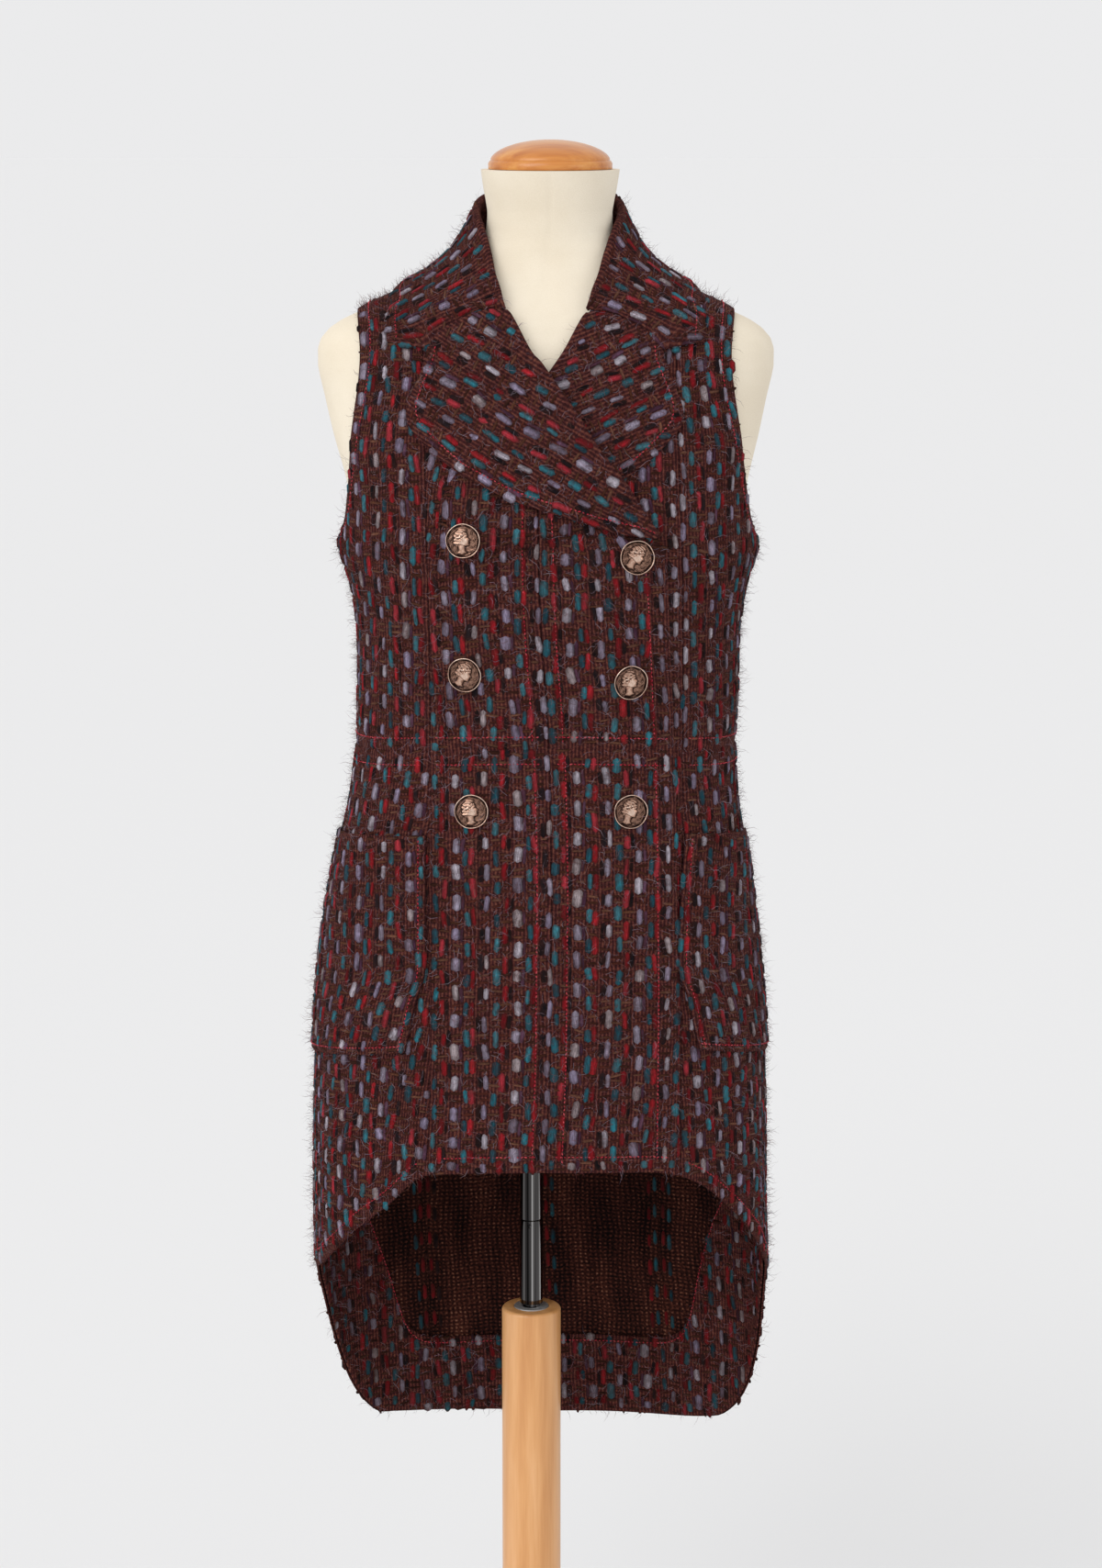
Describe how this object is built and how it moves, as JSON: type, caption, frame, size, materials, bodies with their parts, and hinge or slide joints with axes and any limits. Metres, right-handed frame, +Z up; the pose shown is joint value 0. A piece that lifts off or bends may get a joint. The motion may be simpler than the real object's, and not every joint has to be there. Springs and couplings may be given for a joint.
{
  "type": "mohair vest on a limbless dress form and stand",
  "caption": "Sleeveless double-breasted long vest with notched lapels, patch pockets and a high-low hem, worn on a limbless dress form that slides and turns on a round wooden stand.",
  "frame": {"origin": "centre of the base's flat underside, on the floor under the column's axis", "axes": "+Z up along the column; -Y is the front of the vest; +X is the wearer's left"},
  "size_m": [0.3932, 0.34, 1.4961],
  "materials": {
    "mohair_tweed": "brown wool ground with thick loose floats in red, teal, grey-lavender and black under a mohair haze",
    "rose_gold_metal": "pale rose gold, worn bright on its raised parts",
    "form_canvas": "cream canvas stretched over a smooth form",
    "cap_wood": "honey-coloured, satin varnish",
    "stand_wood": "light beech, satin varnish",
    "bright_steel": "bright turned ring",
    "chrome_tube": "polished chrome"
  },
  "bodies": {
    "stand": {"base_disc": "stand_wood", "column": "stand_wood", "ferrule": "bright_steel"},
    "rod": {"lower_rod": "chrome_tube"},
    "form": {"upper_rod": "chrome_tube", "torso": "form_canvas", "neck_cap": "cap_wood", "right_front": "mohair_tweed", "right_overlap": "mohair_tweed", "right_side_front": "mohair_tweed", "left_front": "mohair_tweed", "left_side_front": "mohair_tweed", "right_back": "mohair_tweed", "left_back": "mohair_tweed", "right_side_back": "mohair_tweed", "left_side_back": "mohair_tweed", "right_front_skirt": "mohair_tweed", "right_overlap_skirt": "mohair_tweed", "right_side_front_skirt": "mohair_tweed", "left_front_skirt": "mohair_tweed", "left_side_front_skirt": "mohair_tweed", "right_back_skirt": "mohair_tweed", "left_back_skirt": "mohair_tweed", "right_side_back_skirt": "mohair_tweed", "left_side_back_skirt": "mohair_tweed", "back_hem_facing": "mohair_tweed", "left_lapel": "mohair_tweed", "right_lapel": "mohair_tweed", "collar": "mohair_tweed", "right_pocket": "mohair_tweed", "left_pocket": "mohair_tweed", "button_right_top": "rose_gold_metal", "button_right_middle": "rose_gold_metal", "button_right_bottom": "rose_gold_metal", "button_left_top": "rose_gold_metal", "button_left_middle": "rose_gold_metal", "button_left_bottom": "rose_gold_metal"}
  },
  "joints": [
    {"name": "height_slide", "type": "slide", "parent": "stand", "child": "rod", "axis": [0, 0, 1], "range_m": [-0.002, 0.2]},
    {"name": "form_swivel", "type": "hinge", "parent": "rod", "child": "form", "pos_m": [0, 0, 0.578], "axis": [0, 0, 1], "continuous": true}
  ]
}
